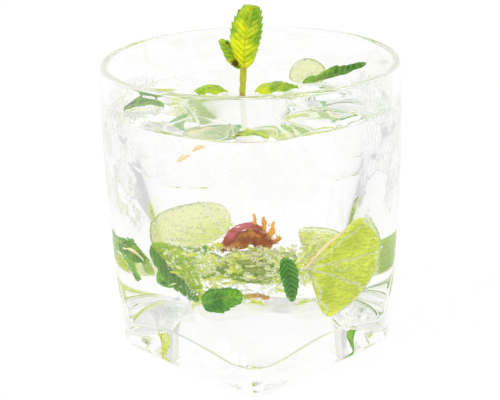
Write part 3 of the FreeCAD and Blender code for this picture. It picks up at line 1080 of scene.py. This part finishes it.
# %% Lime material
def lime_flesh(name, ior, see_through):
    """Lime: wet translucent flesh with spindle-shaped juice sacs, white pith and waxy green skin.
    A thin slice lets light straight through."""
    material, tree = new_material(name)
    reach = add_node(tree, "ShaderNodeAttribute", attribute_name="reach")
    turn = add_node(tree, "ShaderNodeAttribute", attribute_name="turn")
    sac_place = add_node(tree, "ShaderNodeCombineXYZ", {
        "X": reach.outputs["Fac"], "Y": turn.outputs["Fac"],
    })
    sacs = add_node(tree, "ShaderNodeTexVoronoi", {
        "Vector": sac_place.outputs["Vector"], "Scale": 1.0,
    }, feature="SMOOTH_F1")
    place = add_node(tree, "ShaderNodeTexCoord")
    patches = add_node(tree, "ShaderNodeTexNoise", {
        "Vector": place.outputs["Object"], "Scale": noise_scale(6.25), "Detail": 3.0,
    })
    wetter = add_node(tree, "ShaderNodeMapRange", {
        "Value": patches.outputs["Fac"], "From Min": 0.3, "From Max": 0.7,
        "To Min": -0.35, "To Max": 0.35,
    })
    lighter = add_node(tree, "ShaderNodeMath", {
        0: sacs.outputs["Distance"], 1: wetter.outputs["Result"],
    }, operation="ADD", use_clamp=True)
    ripe = add_node(tree, "ShaderNodeMix", {
        "Factor": lighter.outputs[0], MIX_FIRST: colour("#bcd206"), MIX_SECOND: colour("#eef64c"),
    }, data_type="RGBA")
    flesh = colour_by(tree, "pale", ripe.outputs[MIXED], colour("#f4f8c4"))
    cut_face = colour_by(tree, "flesh", colour("#eef2cf"), flesh)
    whole = colour_by(tree, "skin", cut_face, colour("#a3c04a"))
    relief = add_node(tree, "ShaderNodeBump", {
        "Height": sacs.outputs["Distance"], "Strength": 0.9, "Distance": 1.0 * MM,
    })
    surface = add_node(tree, "ShaderNodeBsdfPrincipled", {
        "Base Color": whole, "Roughness": 0.25, "IOR": ior, "Transmission Weight": see_through,
        "Subsurface Weight": 0.6, "Subsurface Radius": (1.0, 1.0, 0.4),
        "Subsurface Scale": 2.5 * MM, "Normal": relief.outputs["Normal"],
    })
    add_node(tree, "ShaderNodeOutputMaterial", {"Surface": surface.outputs["BSDF"]})
    return material


LIME = lime_flesh("cut_lime", SUNK_IOR, 0.0)
THIN_LIME = lime_flesh("thin_lime_slice", SUNK_IOR, 0.75)
WASHED_LIME = lime_flesh("washed_out_lime", SUNK_IOR, 0.9)


# %% Lime shape
# What all cuts have alike: sizes in mm, and shares of the radius where skin begins and core ends
SAC_LENGTH = 1.6
SAC_WIDTH = 0.8
MEMBRANE_HALF_WIDTH = 0.4
SKIN_FROM = 0.965
CORE_TO = 0.08


def lime_grid(centre, facing, up, radius, thickness, span=360, middle=0, segments=10, corner=14,
              pale=0.0, fade=0.0, pith=0.88, squash=1.0, seed=0, rows=30, columns=128, edge_rows=9):
    """Closed grid of a slab cut from a lime wheel, and its point values.

    facing is the way the cut face looks and up the way that a turn of 90 degrees points. The slab
    keeps span degrees of the wheel, about the turn middle. Its outline is found from a point inside
    it: in each direction it ends at the skin or at a cut, with corners between them that are
    rounder the lower the number corner is. pale tells how far the flesh is washed out in the middle,
    and fade how much further at the skin. The white pith begins at the share pith of the radius.
    squash makes the piece lower than it is wide."""
    facing = unit(facing)
    right = unit(np.cross(np.array(up, float), facing))
    upward = np.cross(facing, right)
    half_span = math.radians(span / 2)
    heading = math.radians(middle)
    is_whole = span >= 360
    inside = 0.0 if is_whole else radius * 0.5
    turn = np.arange(columns) * 2 * math.pi / columns
    ray = np.stack([np.cos(turn), np.sin(turn)], axis=-1)
    start = inside * np.array([math.cos(heading), math.sin(heading)])
    beside = ray @ start
    to_skin = -beside + np.sqrt(beside ** 2 + radius ** 2 - inside ** 2)
    inverse = (1 / to_skin) ** corner
    if not is_whole:
        for sign in (-1, 1):
            cut = heading + sign * half_span
            outward = np.array([-math.sin(cut), math.cos(cut)]) * sign
            speed = np.clip(ray @ outward, 1e-3, None)
            inverse = inverse + (speed / (-start @ outward)) ** corner
    outline = inverse ** (-1 / corner)
    share = (np.arange(1, rows) / rows)[:, None]
    bend = np.linspace(0, math.pi, edge_rows)[:, None]
    edge = 0.35 * thickness
    flat = outline - edge * 0.6
    reach = np.concatenate([flat * share, flat + edge * 0.6 * np.sin(bend), flat * share[::-1]])
    level = np.concatenate([1 + 0 * share, np.cos(bend), -1 + 0 * share])
    plane = start + reach[..., None] * ray
    from_centre = np.linalg.norm(plane, axis=-1)
    angle = np.arctan2(plane[..., 1], plane[..., 0])
    wobble = lumps(np.concatenate([plane, 0 * plane[..., :1]], axis=-1), size=7.0, seed=seed)
    sector = segments * (angle + 0.06 * wobble) / (2 * math.pi)
    from_membrane = np.abs(sector - np.round(sector)) * 2 * math.pi / segments * from_centre
    is_flesh = 1 - np.exp(-(from_membrane / MEMBRANE_HALF_WIDTH) ** 2)
    is_flesh *= np.clip((from_centre - CORE_TO * radius) / 0.8, 0, 1)
    is_flesh *= np.clip((pith * radius + 0.4 * wobble - from_centre) / 0.5, 0, 1)
    is_skin = np.clip((from_centre - SKIN_FROM * radius) / (0.02 * radius), 0, 1)
    swell = 0.06 * thickness * is_flesh + 0.02 * thickness * wobble
    height = level * (thickness / 2 + swell)
    grid = (np.array(centre, float) + plane[..., :1] * right + plane[..., 1:] * squash * upward
            + height[..., None] * facing)
    values = {
        "reach": from_centre / SAC_LENGTH + seed, "turn": angle * from_centre / SAC_WIDTH,
        "flesh": is_flesh, "skin": is_skin, "pale": pale + fade * (from_centre / radius) ** 1.5,
    }
    return grid, values


def add_lime(name, nodes=(), material=LIME, **shape):
    """One piece of lime, which stands for the CAD nodes named."""
    grid, values = lime_grid(**shape)
    piece = grid_piece(name, grid, material, values)
    if nodes:
        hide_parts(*nodes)
    return piece


# %% Lime pieces
add_lime("lime_slice_back", ["lime_slice"], centre=(17.9, 29.8, 76.2), facing=(0.27, -0.84, 0.47),
         up=(0, 0, 1), radius=6.4, thickness=2.0, segments=9, pale=1.0, pith=0.8,
         material=WASHED_LIME, seed=1)
LIMES = [
    add_lime("lime_wedge_right", centre=(9.4, -11.0, 32.2), facing=(0.28, -0.93, 0.16),
             up=(0, 0, 1), radius=26.5, thickness=9.0, span=124, middle=-16, corner=6.5, pith=0.97,
             squash=0.72, seed=2),
    add_lime("lime_lobe_right", centre=(9.2, -8.0, 33.0), facing=(0.2, -0.95, 0.2), up=(0, 0, 1),
             radius=15.0, thickness=5.0, span=64, middle=62, corner=5, pale=0.5, squash=0.7, seed=3),
    add_lime("lime_wedge_left", centre=(-3.6, 3.0, 37.6), facing=(-0.1, -0.95, 0.3), up=(0, 0, 1),
             radius=20.0, thickness=5.0, span=130, middle=157, corner=3.4, pale=0.3, fade=1.5, pith=0.94,
             squash=0.6, material=WASHED_LIME, seed=4),
    add_lime("lime_slice_high", centre=(1.2, -11.5, 35.0), facing=(0.05, -0.06, 1), up=(0, 1, 0),
             radius=6.8, thickness=1.3, pale=0.3, material=THIN_LIME, seed=5),
    add_lime("lime_slice_middle", centre=(-0.2, -13.0, 32.6), facing=(-0.06, -0.04, 1), up=(0, 1, 0),
             radius=6.6, thickness=1.2, pale=0.6, material=THIN_LIME, seed=6),
    add_lime("lime_slice_low", centre=(1.0, -12.0, 30.0), facing=(0.1, -0.08, 1), up=(0, 1, 0),
             radius=6.0, thickness=1.2, pale=0.5, material=THIN_LIME, seed=7),
    add_lime("lime_slice_left", centre=(-13.4, -7.0, 33.0), facing=(0.1, -0.3, 1), up=(0, 1, 0),
             radius=9.0, thickness=1.4, pale=0.65, material=THIN_LIME, seed=8),
    add_lime("lime_chunk_back", centre=(7.0, 24.8, 16.4), facing=(-0.5, -0.8, 0.2), up=(0, 0, 1),
             radius=11.0, thickness=9.0, span=180, middle=90, seed=9),
]

# %% [markdown]
# ## Loose pulp
# Where lime was squeezed, its juice sacs come loose. Each is a small spindle, bent a little, and
# most of them lie near level. They are spread evenly through a box round the slices, in random
# places: an even grid of them would show.


# %% Loose pulp
def pulp_grids(count, low, high, seed):
    """Spindles at random places in a box, most of them lying near level."""
    random = np.random.default_rng(seed)
    grids = []
    for number in range(count):
        middle = random.uniform(low, high)
        along = unit(random.normal(size=3) * (1, 0.6, 0.45)) * random.uniform(0.8, 2.0)
        bend = random.normal(size=3) * 0.3
        width = random.uniform(0.3, 0.75)
        grid, _ = stem_grid([middle - along, middle + bend, middle + along],
                            [width * 0.3, width, width * 0.25], columns=8, cuts=2,
                            seed=seed + number)
        # Every spindle is flesh of one tone, from its own place in the pattern of the juice sacs.
        tones = {"reach": number * 1.7, "turn": number * 0.9, "flesh": 1.0, "skin": 0.0}
        tones["pale"] = random.uniform(0, 0.8)
        grids.append((grid, {key: np.full(grid.shape[:2], tone) for key, tone in tones.items()}))
    return grids


PULP_LOW, PULP_HIGH = (-23.0, -22.0, 27.0), (12.0, -9.0, 39.0)
pulp = pulp_grids(count=190, low=PULP_LOW, high=PULP_HIGH, seed=60)
joined_piece("loose_pulp", pulp, LIME)

# %% [markdown]
# ## Bubbles
# Gas sits as small bubbles on the skin of everything sunk in a soda, and others rise free. A bubble
# is a ball of air in the soda, so light bends the other way at it: its IOR is 1 to 1.33, or 0.75.
# There are over two thousand, so each has only a few dozen faces, and smooth shading rounds them.

# %% Bubble material
GAS = one_shader_material("gas_bubble", "ShaderNodeBsdfGlass", {
    "Color": WHITE, "Roughness": 0.0, "IOR": round(1 / SODA_IOR, 2),
})


# %% Bubble shape
# Shares of a bubble's radius: how far its middle stands off the skin, and the room it needs
STAND_OFF = 0.8
ROOM_NEEDED = 1.2


def bubble_piece(name, centres, radii, rings=5, columns=8):
    """Many balls as one piece. A ball is the sphere cos(rise) cos(turn), cos(rise) sin(turn),
    sin(rise), times a radius."""
    rise = np.linspace(-math.pi / 2, math.pi / 2, rings + 2)[1:-1, None]
    turn = np.arange(columns) * 2 * math.pi / columns
    ball = np.stack([
        np.cos(rise) * np.cos(turn), np.cos(rise) * np.sin(turn), np.sin(rise) + 0 * turn,
    ], axis=-1)
    points, quads, triangles, _ = closed_grid(ball)
    points = unit(points)
    starts = (np.arange(len(centres)) * len(points))[:, None, None]
    everywhere = centres[:, None] + radii[:, None, None] * points
    return make_object(name, everywhere.reshape(-1, 3), (quads + starts).reshape(-1, 4),
                       (triangles + starts).reshape(-1, 3), GAS)


def bubble_sizes(count, least, most, random):
    """Radii between two sizes, with many more small ones than large."""
    return least * (most / least) ** (random.random(count) ** 2)


def bubbles_on(piece, count, least, most, random):
    """Bubbles that sit on the front of a piece's skin."""
    vertices = piece.data.vertices
    points, normals = np.empty(len(vertices) * 3), np.empty(len(vertices) * 3)
    vertices.foreach_get("co", points)
    vertices.foreach_get("normal", normals)
    points, normals = points.reshape(-1, 3) / MM, normals.reshape(-1, 3)
    front = np.flatnonzero(normals[:, 1] < 0.1)
    chosen = random.choice(front, count)
    radii = bubble_sizes(count, least, most, random)
    return points[chosen] + normals[chosen] * radii[:, None] * STAND_OFF, radii


# %% Bubbles
random = np.random.default_rng(40)
LIME_COUNTS = [260, 120, 220, 60, 60, 60, 80, 30]
on_lime = [bubbles_on(piece, count, least=0.12, most=0.65, random=random)
           for piece, count in zip(LIMES, LIME_COUNTS)]
on_mint = [bubbles_on(piece, count=45, least=0.10, most=0.45, random=random)
           for piece in SUNK_LEAVES]
on_stem = [bubbles_on(piece, count=70, least=0.10, most=0.5, random=random)
           for piece in OLD_STEM]
LOOSE_LOW, LOOSE_HIGH = (-23.0, -26.0, 25.0), (13.0, -16.0, 42.0)
LOOSE_COUNT = 900
loose_places = random.uniform(LOOSE_LOW, LOOSE_HIGH, (LOOSE_COUNT, 3))
loose = [(loose_places, bubble_sizes(LOOSE_COUNT, least=0.12, most=0.8, random=random))]
groups = on_lime + on_mint + on_stem + loose
centres = np.concatenate([group[0] for group in groups])
radii = np.concatenate([group[1] for group in groups])
heading = np.arctan2(centres[:, 1], centres[:, 0])
room = inner_reach(heading, centres[:, 2]) - np.hypot(centres[:, 0], centres[:, 1])
free = room > ROOM_NEEDED * radii
print("bubbles that would touch the wall and are left out:", int((~free).sum()))
bubble_piece("bubbles_on_fruit", centres[free], radii[free])

# %% [markdown]
# ## Settings
# Light reaches a leaf in the soda through the tumbler, the soda and often a bubble or an ice cube,
# and much of it is turned back at a wall many times first. So rays may bounce far more often than
# usual. By default the renderer also blurs glass for light that has met a plain surface, to hide
# speckle. Each blurred wall loses light: leaves and lime in the soda came out at 55 to 75 percent
# of their brightness. More light on them would hide that, but then they would be wrong in any other
# room. So the blur is turned off, and the light stays plain.

# %% Finish
scene.view_settings.view_transform = "Standard"
BOUNCES = 96
scene.cycles.max_bounces = BOUNCES
scene.cycles.transmission_bounces = BOUNCES
scene.cycles.glossy_bounces = BOUNCES
scene.cycles.transparent_max_bounces = BOUNCES
scene.cycles.diffuse_bounces = 16
scene.cycles.blur_glossy = 0.0
